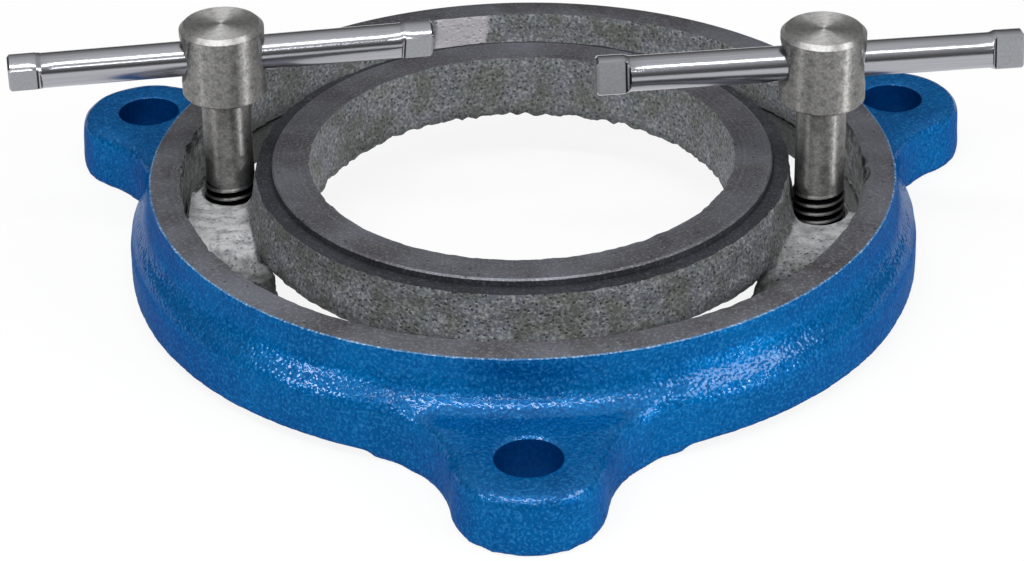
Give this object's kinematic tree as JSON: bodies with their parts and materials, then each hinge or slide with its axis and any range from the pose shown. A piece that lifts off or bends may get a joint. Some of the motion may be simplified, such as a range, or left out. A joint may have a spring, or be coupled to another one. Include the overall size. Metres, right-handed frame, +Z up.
{
  "type": "bench vice swivel base",
  "caption": "Swivel base for a bench vice: cast ring with bolt lugs, a turning clamp ring inside it, and T-handled clamp screws with sliding tommy bars.",
  "frame": {"origin": "on the bench, below the base ring's centre, level with the lugs' feet", "axes": "+Z up along the swivel axis, -Y towards the front lug, +X to the right"},
  "size_m": [0.2277, 0.2105, 0.062],
  "materials": {
    "blue_casting": "glossy blue enamel on rough cast iron, top face machined bare",
    "bare_casting": "bare as-cast iron, boss face machined",
    "turned_steel": "turned steel with a dull grey skin",
    "bright_bar": "bright drawn steel bar, polished"
  },
  "bodies": {
    "base": {"base_ring": "blue_casting"},
    "turntable": {"clamp_ring": "bare_casting"},
    "left_screw": {"left_clamp_screw": "turned_steel"},
    "right_screw": {"right_clamp_screw": "turned_steel"},
    "left_bar": {"left_tommy_bar": "bright_bar"},
    "right_bar": {"right_tommy_bar": "bright_bar"}
  },
  "joints": [
    {"name": "swivel", "type": "hinge", "parent": "base", "child": "turntable", "pos_m": [0, 0, 0.007], "axis": [0, 0, 1], "continuous": true},
    {"name": "left_screw_turn", "type": "hinge", "parent": "turntable", "child": "left_screw", "pos_m": [-0.06714, 0.00694, 0.016], "axis": [0, 0, 1], "continuous": true},
    {"name": "right_screw_turn", "type": "hinge", "parent": "turntable", "child": "right_screw", "pos_m": [0.06714, -0.00694, 0.016], "axis": [0, 0, 1], "continuous": true},
    {"name": "left_bar_slide", "type": "slide", "parent": "left_screw", "child": "left_bar", "axis": [0.989, 0.1478, 0], "range_m": [-0.0299, 0.0305]},
    {"name": "right_bar_slide", "type": "slide", "parent": "right_screw", "child": "right_bar", "axis": [0.9945, 0.1045, 0], "range_m": [-0.0273, 0.0331]}
  ]
}
